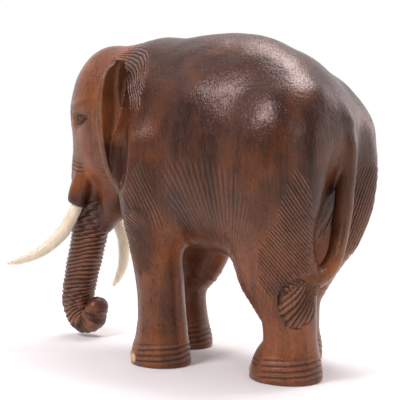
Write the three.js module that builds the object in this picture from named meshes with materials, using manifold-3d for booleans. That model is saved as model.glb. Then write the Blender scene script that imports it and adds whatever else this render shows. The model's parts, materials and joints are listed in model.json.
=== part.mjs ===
// Carved wooden elephant, standing with its right legs stepped forward.
// Millimetres. +X is the elephant's left, -Y is forward, +Z is up, z = 0 is the plane of the soles.
import * as THREE from "three";
import { mergeVertices } from "three/addons/utils/BufferGeometryUtils.js";
import Module from "manifold-3d";

// ---- driving dimensions ----------------------------------------------------------------------
const CENTRE_SHIFT = [-0.25, 26.03]; // x, y added to every station, so the outline is centred on the origin
const FIT_GAP = 0.3; // clearance round each tusk root and each inlaid nail
const TUSK_ROOT_RADIUS = 4.1; // round root of a tusk, and the peg that goes into the socket
const TUSK_ROOT_DEPTH = 13; // how far the root goes into the sheath
const SOCKET_END_GAP = 0.6; // air past the end of the root
const NAIL_SIZE = [3.7, 2.2, 3.4]; // half sizes of a nail: along the foot, through it, upwards
const NAIL_HEIGHT = 4.3; // height of a nail's middle
const FRONT_NAIL_ANGLES = [-33, -71, -109, -147]; // degrees in plan, -90 is straight ahead
const HIND_NAIL_ANGLES = [-58, -90, -122];

// Barrel of the body: y, height of the widest line, half width, top, bottom, squareness above and below.
const BARREL = [
  [-84, 148, 30, 203, 104, 2.0, 2.0],
  [-66, 145, 36, 207, 97, 2.0, 2.0],
  [-48, 140, 43, 211, 88, 2.0, 2.1],
  [-25, 134, 49, 214.5, 78, 2.0, 2.2],
  [5, 126, 53, 216, 71, 2.0, 2.3],
  [30, 124, 54, 213.5, 68, 2.0, 2.3],
  [52, 130, 53, 204, 75, 2.1, 2.3],
  [70, 138, 51, 194.5, 92, 2.2, 2.2],
  [84, 146, 48, 191, 112, 2.3, 2.2],
  [96, 150, 46, 189, 122, 2.3, 2.2],
];
const RUMP_CAP = { from: 54, length: 39, power: 2.5 }; // where the barrel starts to round off behind
const CHEST_CAP = { from: -64, length: 24, power: 2.2 }; // and in front, inside the head
const BARREL_RINGS = [-87, -84, -77, -66, -48, -30, -12, 6, 24, 42, 56, 68, 78, 85, 89.5, 92];

// Limbs: centre x, y, z, then the half width along the hint direction and across it.
const LIMBS = [
  { // left fore leg
    hint: [1, 0, 0], around: 12, steps: 1,
    line: [[34, -42, 140, 17, 22], [37, -37, 112, 17, 21], [37, -32, 85, 16, 18], [36, -28, 60, 15.5, 16.5],
      [36, -26, 36, 15.5, 16], [36, -26, 16, 17, 18.5], [36, -27, 4, 18.5, 20.5], [36, -27, -8, 18.5, 20.5]],
  },
  { // right fore leg
    hint: [1, 0, 0], around: 12, steps: 1,
    line: [[-33, -38, 140, 17, 24], [-34, -34, 112, 16, 27], [-29, -36, 85, 15, 27], [-22, -41, 60, 15, 23],
      [-19, -46.5, 40, 14.5, 15], [-18, -46, 16, 16.5, 17.5], [-18, -45, 4, 18, 19.5], [-18, -45, -8, 18, 19.5]],
  },
  { // left hind leg
    hint: [1, 0, 0], around: 12, steps: 1,
    line: [[28, 54, 150, 21, 28], [31, 53.5, 120, 21, 28.5], [32, 54.5, 92, 20, 27], [31, 58.5, 68, 18.5, 27.5],
      [29, 62, 53, 17, 22], [27, 65, 40, 15.5, 18.5], [26, 65.5, 27, 15.5, 17.5], [25, 65, 15, 17.5, 19],
      [25, 62.5, 5, 20.5, 23], [25, 62.5, -8, 21, 23.5]],
  },
  { // right hind leg
    hint: [1, 0, 0], around: 12, steps: 1,
    line: [[-28, 56, 150, 22, 30], [-31, 56, 120, 20, 30], [-31, 53, 92, 18, 28.5], [-29, 49, 72, 17, 23],
      [-28, 44, 56, 16.5, 19], [-28, 39.5, 42, 15.5, 16.5], [-28, 37, 22, 16.5, 17.5], [-28, 36, 7, 18.5, 20.5],
      [-28, 36, -8, 19, 21]],
  },
  { // trunk, curled back at the tip
    hint: [1, 0, 0], around: 12, steps: 2, roundEnd: true,
    line: [[0, -106, 150, 20, 18], [0, -113, 125, 18, 16], [0, -115.5, 100, 14.2, 14.5], [0, -118.5, 78, 12.8, 13],
      [0, -124.5, 55, 12.3, 12.3], [0, -129.5, 36, 11.8, 11.8], [0, -131, 21.5, 11, 11], [0, -125, 12, 10.3, 10],
      [0, -116, 14, 9.3, 8.6], [0, -112.5, 22.5, 8.2, 7.2]],
  },
  { // neck
    hint: [1, 0, 0], around: 18, steps: 1,
    line: [[0, -50, 166, 33, 46], [0, -72, 165, 30, 44], [0, -92, 166, 27, 39.5]],
  },
  { // left ear
    hint: [1, 0.05, 0], around: 12, steps: 1, roundStart: true, roundEnd: true,
    line: [[38, -60, 197, 5, 2.6], [41, -61, 190, 10.5, 3.2], [42, -62, 175, 13, 3.6], [42, -62.5, 158, 13, 3.8],
      [41, -61.5, 142, 11, 3.6], [40, -59.5, 130, 7.5, 3.2], [38, -57, 121, 3.5, 2.8]],
  },
  { // right ear
    hint: [1, -0.05, 0], around: 12, steps: 1, roundStart: true, roundEnd: true,
    line: [[-38, -60, 197, 5, 2.6], [-41, -61, 190, 10.5, 3.2], [-42, -62, 175, 13, 3.6], [-42, -62.5, 158, 13, 3.8],
      [-41, -61.5, 142, 11, 3.6], [-40, -59.5, 130, 7.5, 3.2], [-38, -57, 121, 3.5, 2.8]],
  },
  { // tail
    hint: [1, 0, 0], around: 8, steps: 1, roundEnd: true,
    line: [[0, 84, 160, 9, 7], [0, 90, 145, 7.5, 6.5], [0, 90.5, 130, 6.4, 6], [0.5, 89, 114, 6, 5.6],
      [2.5, 88, 98, 5.8, 5.5], [6, 88, 86, 5.6, 5.3], [11, 87.5, 75, 5.4, 5.2], [18.5, 86, 65.5, 5.2, 5.2],
      [27, 84, 59.5, 5, 4.6], [34, 80.5, 58, 4, 3.6]],
  },
  { // tuft at the end of the tail, lying on the left hind leg
    hint: [-0.576, 0.432, -0.69], around: 12, steps: 1, roundStart: true, roundEnd: true,
    line: [[31, 82.5, 61, 6, 3], [35, 80, 54, 9, 3.6], [39, 77.5, 46, 11, 3.9], [41, 76, 38, 10.5, 3.6],
      [41, 75, 32, 7, 3]],
  },
];

// Rounded masses: centre, half sizes, tilt about X in degrees.
const MASSES = [
  { at: [30, 53, 130], size: [22, 34, 50], tilt: 0 }, // left haunch
  { at: [-30, 59, 128], size: [22, 35, 59], tilt: 0 }, // right haunch
  { at: [0, -91.5, 170], size: [28, 29, 39.5], tilt: 12 }, // skull
  { at: [0, -105, 160], size: [22, 20, 30], tilt: 10 }, // forehead
  { at: [0, -96, 140], size: [25, 22, 30], tilt: 0 }, // cheeks
  { at: [0, -92, 110], size: [14, 13, 26], tilt: -14 }, // jaw
  { at: [0, -101, 93], size: [8, 8, 15], tilt: -10 }, // lower lip
];

// Sheath round a tusk root, for the left side: the last station is the mouth of the socket.
const SHEATH = [[14.4, -108.5, 126, 5, 5.5], [15.4, -110.9, 119, 7.2, 7.8], [16.4, -113.1, 110, 8, 8.6],
  [17.1, -114.8, 102, 7.6, 8.1], [17.5, -115.5, 98, 6.6, 7]];

// Tusks: mouth of the socket, direction of the root out of it, then free stations x, y, z, radius.
const TUSKS = {
  left: {
    mouth: [17.5, -115.5, 98], root: [2, -4, -12],
    line: [[19.4, -118.9, 90, 4.6], [24, -124.5, 78, 4.7], [34, -134, 66, 3.9], [46, -142, 60, 2.7], [54.4, -147.5, 58.2, 1.1]],
  },
  right: {
    mouth: [-17.5, -115.5, 98], root: [-3.5, -2.5, -12],
    line: [[-21, -116.9, 91, 4.6], [-27, -114.6, 82, 4.7], [-33.5, -114.9, 71, 4.6], [-37.2, -116.9, 60, 4.3],
      [-40.2, -120.4, 48.5, 3.7], [-42, -126.2, 38, 2.9], [-43, -131.5, 31.5, 1.6]],
  },
};

// ---- materials -------------------------------------------------------------------------------
const WOOD = new THREE.MeshStandardMaterial({ color: 0x5a2c1a, roughness: 0.38, metalness: 0 });
const BONE = new THREE.MeshStandardMaterial({ color: 0xe6d9b4, roughness: 0.42, metalness: 0 });

// ---- geometry helpers ------------------------------------------------------------------------
const wasm = await Module();
wasm.setup();

function solid(geometry) {
  const g = geometry.clone();
  g.deleteAttribute("normal");
  g.deleteAttribute("uv");
  const merged = mergeVertices(g, 1e-4);
  return new wasm.Manifold(
    new wasm.Mesh({
      numProp: 3,
      vertProperties: new Float32Array(merged.attributes.position.array),
      triVerts: new Uint32Array(merged.index.array),
    }),
  );
}

// A closed skin over rings of points, each ring listed anticlockwise seen from the far end.
function skin(rings, first, last) {
  const n = rings[0].length;
  const points = [first, ...rings.flat(), last];
  const at = (r, i) => 1 + r * n + ((i + n) % n);
  const faces = [];
  for (let i = 0; i < n; i++) {
    faces.push(0, at(0, i + 1), at(0, i));
    for (let r = 0; r + 1 < rings.length; r++) {
      faces.push(at(r, i), at(r, i + 1), at(r + 1, i + 1));
      faces.push(at(r, i), at(r + 1, i + 1), at(r + 1, i));
    }
    faces.push(points.length - 1, at(rings.length - 1, i), at(rings.length - 1, i + 1));
  }
  const g = new THREE.BufferGeometry().setFromPoints(points);
  g.setIndex(faces);
  return g;
}

// A round-sectioned limb along a Catmull-Rom line, with elliptical sections.
function limb({ line, hint, around, steps, roundStart = false, roundEnd = false }) {
  const path = new THREE.CatmullRomCurve3(line.map(([x, y, z]) => new THREE.Vector3(x, y, z)), false, "catmullrom", 0.5);
  const girth = new THREE.CatmullRomCurve3(line.map(([, , , a, b]) => new THREE.Vector3(a, b ?? a, 0)), false, "catmullrom", 0.5);
  const toward = new THREE.Vector3(...hint).normalize();
  const stops = [];
  const count = (line.length - 1) * steps;
  const caps = [0.94, 0.62]; // sizes of the two rings that close a rounded end
  const add = (t, scale, push) => {
    const c = path.getPoint(t), r = girth.getPoint(t), d = path.getTangent(t).normalize();
    const e1 = toward.clone().addScaledVector(d, -toward.dot(d)).normalize();
    const e2 = new THREE.Vector3().crossVectors(d, e1);
    c.addScaledVector(d, push * Math.min(r.x, r.y));
    const ring = [];
    for (let i = 0; i < around; i++) {
      const a = (2 * Math.PI * i) / around;
      ring.push(c.clone().addScaledVector(e1, r.x * scale * Math.cos(a)).addScaledVector(e2, r.y * scale * Math.sin(a)));
    }
    return { c, ring };
  };
  const depth = (s) => Math.sqrt(1 - s * s);
  if (roundStart) [...caps].reverse().forEach((s) => stops.push(add(0, s, -depth(s))));
  for (let k = 0; k <= count; k++) stops.push(add(k / count, 1, 0));
  if (roundEnd) caps.forEach((s) => stops.push(add(1, s, depth(s))));
  const start = roundStart ? add(0, 1, -1).c : stops[0].c;
  const end = roundEnd ? add(1, 1, 1).c : stops[stops.length - 1].c;
  return skin(stops.map((s) => s.ring), start, end);
}

// Cubic interpolation of a table whose first column is the position.
function lookup(table, y) {
  let k = 0;
  while (k < table.length - 2 && y > table[k + 1][0]) k++;
  const a = table[k], b = table[k + 1], h = b[0] - a[0];
  const t = Math.min(1, Math.max(0, (y - a[0]) / h));
  const before = table[Math.max(0, k - 1)], after = table[Math.min(table.length - 1, k + 2)];
  return a.map((va, j) => {
    const ma = (b[j] - before[j]) / (b[0] - before[0]), mb = (after[j] - va) / (after[0] - a[0]);
    return (2 * t ** 3 - 3 * t * t + 1) * va + (t ** 3 - 2 * t * t + t) * h * ma +
      (3 * t * t - 2 * t ** 3) * b[j] + (t ** 3 - t * t) * h * mb;
  });
}

function barrel(around) {
  const rings = BARREL_RINGS.map((y) => {
    const [, zc, w, top, bottom, above, below] = lookup(BARREL, y);
    let s = 1;
    for (const [over, cap] of [[y - RUMP_CAP.from, RUMP_CAP], [CHEST_CAP.from - y, CHEST_CAP]]) {
      const c = Math.max(0, over / cap.length);
      s *= Math.pow(Math.max(0, 1 - Math.pow(c, cap.power)), 1 / cap.power);
    }
    const ring = [];
    for (let i = 0; i < around; i++) {
      const a = (2 * Math.PI * i) / around, c = Math.cos(a), d = Math.sin(a);
      const n = d > 0 ? above : below, h = d > 0 ? top - zc : zc - bottom;
      ring.push(new THREE.Vector3(-s * w * Math.sign(c) * Math.abs(c) ** (2 / n), y, zc + s * h * Math.sign(d) * Math.abs(d) ** (2 / n)));
    }
    return ring;
  });
  const middle = (ring) => ring.reduce((m, p) => m.add(p), new THREE.Vector3()).divideScalar(ring.length);
  return skin(rings, middle(rings[0]), middle(rings[rings.length - 1]));
}

function mass({ at, size, tilt }) {
  return new THREE.SphereGeometry(1, 16, 10)
    .rotateX(Math.PI / 2)
    .scale(...size)
    .rotateX(THREE.MathUtils.degToRad(tilt))
    .translate(...at);
}

// A straight round peg from a point along a direction.
function peg(from, direction, radius, length, around = 20) {
  const d = new THREE.Vector3(...direction).normalize();
  const turn = new THREE.Quaternion().setFromUnitVectors(new THREE.Vector3(0, 1, 0), d);
  return new THREE.CylinderGeometry(radius, radius, length, around)
    .translate(0, length / 2, 0)
    .applyQuaternion(turn)
    .translate(...from);
}

const outward = (s) => {
  if (s.volume() <= 0) throw new Error("a skin faces inwards");
  return s;
};

// ---- the carving -----------------------------------------------------------------------------
const mirrored = (line) => line.map(([x, ...rest]) => [-x, ...rest]);
let body = outward(solid(barrel(26)));
for (const l of LIMBS) body = body.add(outward(solid(limb(l))));
for (const m of MASSES) body = body.add(outward(solid(mass(m))));
for (const line of [SHEATH, mirrored(SHEATH)])
  body = body.add(outward(solid(limb({ line, hint: [1, 0, 0], around: 12, steps: 1, roundStart: true }))));
body = body.subtract(solid(new THREE.BoxGeometry(400, 500, 60).translate(0, 0, -30)));

// ---- tusks -----------------------------------------------------------------------------------
const pieces = new Map();
for (const [side, { mouth, root, line }] of Object.entries(TUSKS)) {
  const axis = new THREE.Vector3(...root).normalize();
  const from = (d) => new THREE.Vector3(...mouth).addScaledVector(axis, d).toArray();
  body = body.subtract(solid(peg(from(-TUSK_ROOT_DEPTH - SOCKET_END_GAP), root, TUSK_ROOT_RADIUS + FIT_GAP, TUSK_ROOT_DEPTH + SOCKET_END_GAP + 9)));
  const shaft = outward(solid(peg(from(-TUSK_ROOT_DEPTH), root, TUSK_ROOT_RADIUS, TUSK_ROOT_DEPTH + 1.5)));
  const free = limb({
    line: [[...from(-1.5), TUSK_ROOT_RADIUS * 0.97], [...from(2), TUSK_ROOT_RADIUS * 1.02], ...line].map(([x, y, z, r]) => [x, y, z, r, r]),
    hint: [0.3, 0.9, 0.1], around: 12, steps: 2, roundEnd: true,
  });
  pieces.set("tusk_" + side, shaft.add(outward(solid(free))));
}

// ---- inlaid toenails -------------------------------------------------------------------------
const FEET = {
  left_fore: { leg: LIMBS[0], angles: FRONT_NAIL_ANGLES },
  right_fore: { leg: LIMBS[1], angles: FRONT_NAIL_ANGLES },
  left_hind: { leg: LIMBS[2], angles: HIND_NAIL_ANGLES },
  right_hind: { leg: LIMBS[3], angles: HIND_NAIL_ANGLES },
};
const nailSolid = (grow, p, turn) => {
  const g = new THREE.SphereGeometry(1, 8, 6)
    .rotateX(Math.PI / 2)
    .scale(NAIL_SIZE[0] + grow, NAIL_SIZE[1] + grow, NAIL_SIZE[2] + grow)
    .rotateZ(turn)
    .translate(...p);
  return solid(g);
};
for (const [foot, { leg, angles }] of Object.entries(FEET)) {
  const [cx, cy, , ra, rb] = leg.line[leg.line.length - 2];
  angles.forEach((deg, i) => {
    const a = THREE.MathUtils.degToRad(deg);
    const nx = Math.cos(a) / ra, ny = Math.sin(a) / rb, l = Math.hypot(nx, ny);
    const p = [cx + ra * Math.cos(a) - (0.9 * nx) / l, cy + rb * Math.sin(a) - (0.9 * ny) / l, NAIL_HEIGHT];
    const turn = Math.atan2(ny, nx) + Math.PI / 2;
    pieces.set(`nail_${foot}_${i + 1}`, nailSolid(0, p, turn));
    body = body.subtract(nailSolid(FIT_GAP, p, turn));
  });
}

// ---- assembly --------------------------------------------------------------------------------
function meshOf(name, shape, material) {
  const m = shape.getMesh();
  const g = new THREE.BufferGeometry();
  const position = new Float32Array(m.numVert * 3);
  for (let i = 0; i < m.numVert; i++) position.set(m.vertProperties.subarray(i * m.numProp, i * m.numProp + 3), i * 3);
  g.setAttribute("position", new THREE.BufferAttribute(position, 3));
  g.setIndex(new THREE.BufferAttribute(new Uint32Array(m.triVerts), 1));
  g.translate(CENTRE_SHIFT[0], CENTRE_SHIFT[1], 0);
  g.computeVertexNormals();
  const mesh = new THREE.Mesh(g, material.clone());
  mesh.name = name;
  return mesh;
}

const elephant = new THREE.Group();
elephant.name = "carved_elephant";
elephant.add(meshOf("elephant_body", body, WOOD));
for (const [name, shape] of pieces) elephant.add(meshOf(name, shape, BONE));

export default elephant;
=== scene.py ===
import json
import math
import bpy
import numpy as np
from mathutils import Matrix, Vector

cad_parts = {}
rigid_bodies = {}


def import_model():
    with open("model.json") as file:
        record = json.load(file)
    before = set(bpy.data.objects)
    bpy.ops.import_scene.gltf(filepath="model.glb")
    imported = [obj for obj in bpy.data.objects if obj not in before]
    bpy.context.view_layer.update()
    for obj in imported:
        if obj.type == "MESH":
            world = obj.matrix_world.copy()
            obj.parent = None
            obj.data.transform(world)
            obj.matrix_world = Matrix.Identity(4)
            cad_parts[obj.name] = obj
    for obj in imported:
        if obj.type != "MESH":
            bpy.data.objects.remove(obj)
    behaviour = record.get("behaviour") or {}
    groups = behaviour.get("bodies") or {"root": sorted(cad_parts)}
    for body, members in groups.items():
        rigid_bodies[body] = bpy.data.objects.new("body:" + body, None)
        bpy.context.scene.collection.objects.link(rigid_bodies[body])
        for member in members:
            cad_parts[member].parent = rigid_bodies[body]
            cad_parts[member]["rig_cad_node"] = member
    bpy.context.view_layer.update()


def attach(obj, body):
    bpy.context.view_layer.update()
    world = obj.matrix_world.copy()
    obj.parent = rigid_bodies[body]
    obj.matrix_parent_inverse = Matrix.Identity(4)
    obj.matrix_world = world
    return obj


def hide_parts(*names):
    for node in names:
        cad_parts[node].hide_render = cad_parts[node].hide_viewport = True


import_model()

STEP = 1.15  # grid step of the carving's skin, mm
SHIFT = np.array([-0.25, 26.03, 0.0])  # from the carver's frame (below, mm) to the row frame

# ---------------------------------------------------------------------------------------------
# The carving as a smooth field.  Millimetres, +X its left, -Y forward, +Z up.
# ---------------------------------------------------------------------------------------------
BARREL = [(-84,148, 30,203,104,2.0,2.0),
          (-66,145, 36,207, 97,2.0,2.0),
          (-48,140, 43,211, 88,2.0,2.1),
          (-25,134, 49,214.5, 78,2.0,2.2),
          (  5,126, 53,216, 71,2.0,2.3),
          ( 30,124, 54,213.5, 68,2.0,2.3),
          ( 52,130, 53,204, 75,2.1,2.3),
          ( 70,138, 51,194.5, 92,2.2,2.2),
          ( 84,146, 48,191,112,2.3,2.2),
          ( 96,150, 46,189,122,2.3,2.2)]
REAR = (54, 39, 2.5)
FRONT = (-64, 24, 2.2)

LEG_LF = [(34,-42,140,17,22),(37,-37,112,17,21),(37,-32,85,16,18),(36,-28,60,15.5,16.5),(36,-26,36,15.5,16),(36,-26,16,17,18.5),(36,-27,4,18.5,20.5),(36,-27,-8,18.5,20.5)]
LEG_RF = [(-33,-38,140,17,24),(-34,-34,112,16,27),(-29,-36,85,15,27),(-22,-41,60,15,23),(-19,-46.5,40,14.5,15),(-18,-46,16,16.5,17.5),(-18,-45,4,18,19.5),(-18,-45,-8,18,19.5)]
LEG_LH = [(28,54,150,21,28),(31,53.5,120,21,28.5),(32,54.5,92,20,27),(31,58.5,68,18.5,27.5),(29,62,53,17,22),(27,65,40,15.5,18.5),(26,65.5,27,15.5,17.5),(25,65,15,17.5,19),(25,62.5,5,20.5,23),(25,62.5,-8,21,23.5)]
LEG_RH = [(-28,56,150,22,30),(-31,56,120,20,30),(-31,53,92,18,28.5),(-29,49,72,17,23),(-28,44,56,16.5,19),(-28,39.5,42,15.5,16.5),(-28,37,22,16.5,17.5),(-28,36,7,18.5,20.5),(-28,36,-8,19,21)]
TRUNK = [(0,-106,150,20,18),(0,-113,125,18,16),(0,-115.5,100,14.6,14.5),(0,-118.5,78,12.9,13),(0,-124.5,55,12.3,12.3),(0,-129.5,36,11.8,11.8),(0,-131,21.5,11,11),(0,-125,12,10.3,10),(0,-116,14,9.3,8.6),(0,-112.5,22.5,8.2,7.2)]
NECK = [(0,-50,166,33,46),(0,-72,165,30,44),(0,-92,166,27,39.5)]
EAR = [(38,-60,197,5,2.8),(41,-61,190,10.2,3.2),(42,-62,175,12.7,3.5),(42,-62.3,158,12.8,3.6),(41.2,-61.6,142,11.6,3.5),(40.3,-60.3,130,10,3.3),(39.5,-59,120,7.2,3.0),(39,-58,113,3.6,2.6)]
TAIL = [(0,84,160,9,7),(0,90,145,7.5,6.5),(0,90.5,130,6.4,6),(0.5,89,114,6,5.6),(2.5,88,98,5.8,5.5),(6,88,86,5.6,5.3),(11,87.5,75,5.4,5.2),(18.5,86,67.5,5.2,5.2),(27,84,63.5,5,4.6),(34,80.5,62.5,4,3.6)]
TUFT = [(31,82.5,66,5.5,4),(35,81,59.5,8.6,4.8),(39,79,51.5,10.6,5.2),(41.5,77.5,44.5,10.6,4.6),(42,76.5,39.5,8.5,3.4)]
SPINE = [(0,36,199,5,4),(0,52,192,5,4),(0,68,182,5,4),(0,80,171,5,4),(0,88,159,5,4)]
SHEATH = [(14.6,-109.0,128,3.8,4.4),(15.4,-110.4,121,5.8,6.4),(16.3,-112.4,112,6.9,7.4),(17.2,-114.5,104,6.9,7.2),(17.5,-115.5,98,6.3,6.6),(17.6,-116.2,94,6,6)]
def mirror(line):
    return [(-x,) + tuple(r) for x, *r in line]
# name, blend radius, hint across, stations
LIMBS = [("leg_lf",14,(1,0,0),LEG_LF),("leg_rf",14,(1,0,0),LEG_RF),("leg_lh",14,(1,0,0),LEG_LH),("leg_rh",14,(1,0,0),LEG_RH),
         ("trunk",8,(1,0,0),TRUNK),("neck",14,(1,0,0),NECK),
         ("ear_l",3,(1,.05,0),EAR),("ear_r",3,(1,-.05,0),mirror(EAR)),
         ("spine",8,(1,0,0),SPINE),
         ("tail",3,(1,0,0),TAIL),("tuft",1.2,(-.576,.432,-.69),TUFT)]
MASSES = [(10,(30,53,130),(22,34,50),0),(10,(-30,59,128),(22,35,59),0),
          (12,(0,-91.5,170),(28,29,39.5),12),(10,(0,-105,160),(22,20,30),10),(10,(0,-96,140),(25,22,30),0),
          (6,(0,-92,110),(14,13,26),-14),(5,(0,-101,93),(8,8,15),-10)]
MOUTHS = [((17.5,-115.5,98),(2,-4,-12)),((-17.5,-115.5,98),(-3.5,-2.5,-12))]
ROOT_R, ROOT_DEPTH = 4.1, 13.0

def unit(v):
    v = np.array(v, float)
    return v / np.linalg.norm(v)
def smin(a, b, k):
    h = np.maximum(k - np.abs(a - b), 0) / k
    return np.minimum(a, b) - h * h * k * 0.25
def smax(a, b, k):
    return -smin(-a, -b, k)
def sstep(a, b, x):
    t = np.clip((x - a) / (b - a), 0, 1)
    return t * t * (3 - 2 * t)
def catmull(P, m):
    P = np.array(P, float)
    Q = np.vstack([2 * P[0] - P[1], P, 2 * P[-1] - P[-2]])
    out = []
    for i in range(len(P) - 1):
        p0, p1, p2, p3 = Q[i], Q[i + 1], Q[i + 2], Q[i + 3]
        for j in range(m):
            t = j / m
            out.append(0.5 * ((2 * p1) + (-p0 + p2) * t + (2 * p0 - 5 * p1 + 4 * p2 - p3) * t * t + (-p0 + 3 * p1 - 3 * p2 + p3) * t ** 3))
    out.append(P[-1])
    return np.array(out)

def tube_near(p, S):
    """Nearest segment of a sampled line and the place on it, thick parts winning."""
    A, B = S[:-1], S[1:]
    best = np.full(len(p), 1e9)
    bi = np.zeros(len(p), int)
    bt = np.zeros(len(p))
    for i in range(len(A)):
        a = A[i, :3]
        ab = B[i, :3] - a
        t = np.clip(((p - a) @ ab) / (ab @ ab), 0, 1)
        v = p - a - t[:, None] * ab
        w = np.sqrt(np.einsum("ij,ij->i", v, v)) - (A[i, 3] + (B[i, 3] - A[i, 3]) * t)
        m = w < best
        best[m] = w[m]
        bi[m] = i
        bt[m] = t[m]
    return bi, bt
def tube_frame(p, S, hint):
    bi, bt = tube_near(p, S)
    c = S[bi] + (S[bi + 1] - S[bi]) * bt[:, None]
    T = np.gradient(S[:, :3], axis=0)
    T /= np.linalg.norm(T, axis=1)[:, None]
    tt = T[bi] + (T[bi + 1] - T[bi]) * bt[:, None]
    tt /= np.linalg.norm(tt, axis=1)[:, None]
    h = np.array(hint, float)
    e1 = h - (tt @ h)[:, None] * tt
    e1 /= np.linalg.norm(e1, axis=1)[:, None]
    e2 = np.cross(tt, e1)
    v = p - c[:, :3]
    u = np.einsum("ij,ij->i", v, e1)
    w = np.einsum("ij,ij->i", v, e2)
    s = np.einsum("ij,ij->i", v, tt)
    return bi, bt, c, u, w, s
def d_tube(p, S, hint, n=2.0):
    _, _, c, u, w, s = tube_frame(p, S, hint)
    ra, rb = c[:, 3], c[:, 4]
    k = (np.abs(u / ra) ** n + np.abs(w / rb) ** n + np.abs(s / np.minimum(ra, rb)) ** n) ** (1 / n) + 1e-9
    return np.sqrt(u * u + w * w + s * s) * (1 - 1 / k)
def d_ear(p, S, side):
    zs = S[::-1, 2]
    def k_of(q):
        z = np.clip(q[:, 2], zs[0], zs[-1])
        cx, cy, ra, rb = [np.interp(z, zs, S[::-1, j]) for j in (0, 1, 3, 4)]
        over = np.maximum(np.maximum(q[:, 2] - zs[-1], 0) / 3.5, np.maximum(zs[0] - q[:, 2], 0) / 3.0)
        dx, dy = q[:, 0] - cx, q[:, 1] - cy + 0.10 * side * (q[:, 0] - cx)
        return (np.abs(dx / ra) ** 2.8 + np.abs(dy / rb) ** 2.8 + over ** 2.8) ** (1 / 2.8)
    k = k_of(p)
    g2 = 0
    for a in range(3):
        o = np.zeros(3)
        o[a] = 0.4
        g2 = g2 + ((k_of(p + o) - k_of(p - o)) / 0.8) ** 2
    return (k - 1) / np.maximum(np.sqrt(g2), 0.04)
def d_ell(p, c, r, tilt):
    q = p - np.array(c, float)
    if tilt:
        a = math.radians(tilt)
        y = q[:, 1] * math.cos(a) + q[:, 2] * math.sin(a)
        z = -q[:, 1] * math.sin(a) + q[:, 2] * math.cos(a)
        q = np.stack([q[:, 0], y, z], 1)
    r = np.array(r, float)
    k0 = np.linalg.norm(q / r, axis=1)
    k1 = np.linalg.norm(q / (r * r), axis=1) + 1e-9
    return k0 * (k0 - 1) / k1

_S = catmull(BARREL, 12)
_YS = np.linspace(BARREL[0][0], BARREL[-1][0], 260)
_TAB = [np.interp(_YS, _S[:, 0], _S[:, j]) for j in range(7)]
def k_barrel(q):
    y = np.clip(q[:, 1], _YS[0], _YS[-1])
    zc, w, zt, zb, n1, n2 = [np.interp(y, _YS, _TAB[j]) for j in range(1, 7)]
    dz = q[:, 2] - zc
    top = dz > 0
    h = np.where(top, zt - zc, zc - zb)
    n = np.where(top, n1, n2)
    k = (np.abs(q[:, 0] / w) ** n + np.abs(dz / h) ** n) ** (1 / n)
    for over, (_, ln, m) in ((q[:, 1] - REAR[0], REAR), (FRONT[0] - q[:, 1], FRONT)):
        c = np.maximum(over / ln, 0)
        k = (k ** m + c ** m) ** (1 / m)
    return k
def d_barrel(p):
    e = 0.4
    k = k_barrel(p)
    g2 = 0
    for a in range(3):
        o = np.zeros(3)
        o[a] = e
        g2 = g2 + ((k_barrel(p + o) - k_barrel(p - o)) / (2 * e)) ** 2
    return (k - 1) / np.maximum(np.sqrt(g2), 0.008)

def boxed(p, fn, lo, hi, m=18.0):
    lo = np.array(lo) - m
    hi = np.array(hi) + m
    ins = np.all((p >= lo) & (p <= hi), axis=1)
    out = m + np.linalg.norm(np.maximum(np.maximum(lo - p, p - hi), 0), axis=1)
    if ins.any():
        out[ins] = fn(p[ins])
    return out

PREP = []
for _name, _k, _hint, _line in LIMBS:
    _P = np.array(_line, float)
    _R = _P[:, 3:5].max(1)[:, None]
    PREP.append((_name, _k, _hint, catmull(_line, 4), (_P[:, :3] - _R).min(0), (_P[:, :3] + _R).max(0)))
LINES = {n: S for n, _, _, S, _, _ in PREP}

def field(p):
    d = d_barrel(p)
    for k, c, r, tilt in MASSES:
        R = max(r)
        c_ = np.array(c, float)
        d = smin(d, boxed(p, lambda q: d_ell(q, c, r, tilt), c_ - R, c_ + R), k)
    for name, k, hint, S, lo, hi in PREP:
        if name.startswith("ear"):
            d = smin(d, boxed(p, lambda q: d_ear(q, S, 1 if name == "ear_l" else -1), lo, hi), k)
        else:
            d = smin(d, boxed(p, lambda q: d_tube(q, S, hint), lo, hi), k)
    # the recess between each ear and the shoulder
    for sx in (1, -1):
        c_ = np.array((sx * 53.0, -50.5, 138.0))
        d = smax(d, -boxed(p, lambda q: d_ell(q, c_, (11.0, 7.2, 25.0), 0), c_ - 25, c_ + 25), 5.0)
    # sheaths, cut square at the mouth, then bored for the tusk
    for (mouth, ax), sx in zip(MOUTHS, (1, -1)):
        a = unit(ax)
        S = catmull(SHEATH if sx > 0 else mirror(SHEATH), 4)
        def sheath(q):
            e = d_tube(q, S, (1, 0, 0))
            return smax(e, (q - np.array(mouth)) @ a, 3.0)
        lo, hi = S[:, :3].min(0) - 9, S[:, :3].max(0) + 9
        d = smin(d, boxed(p, sheath, lo, hi), 2.6)
        def bore(q):
            v = q - np.array(mouth)
            s = v @ a
            rr = np.linalg.norm(v - s[:, None] * a, axis=1)
            return np.maximum(rr - (ROOT_R + 0.35), np.maximum(-(s + ROOT_DEPTH + 0.6), s - 9))
        d = smax(d, -boxed(p, bore, np.array(mouth) - 16, np.array(mouth) + 16), 0.6)
    return smax(d, -p[:, 2], 1.2)

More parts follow.
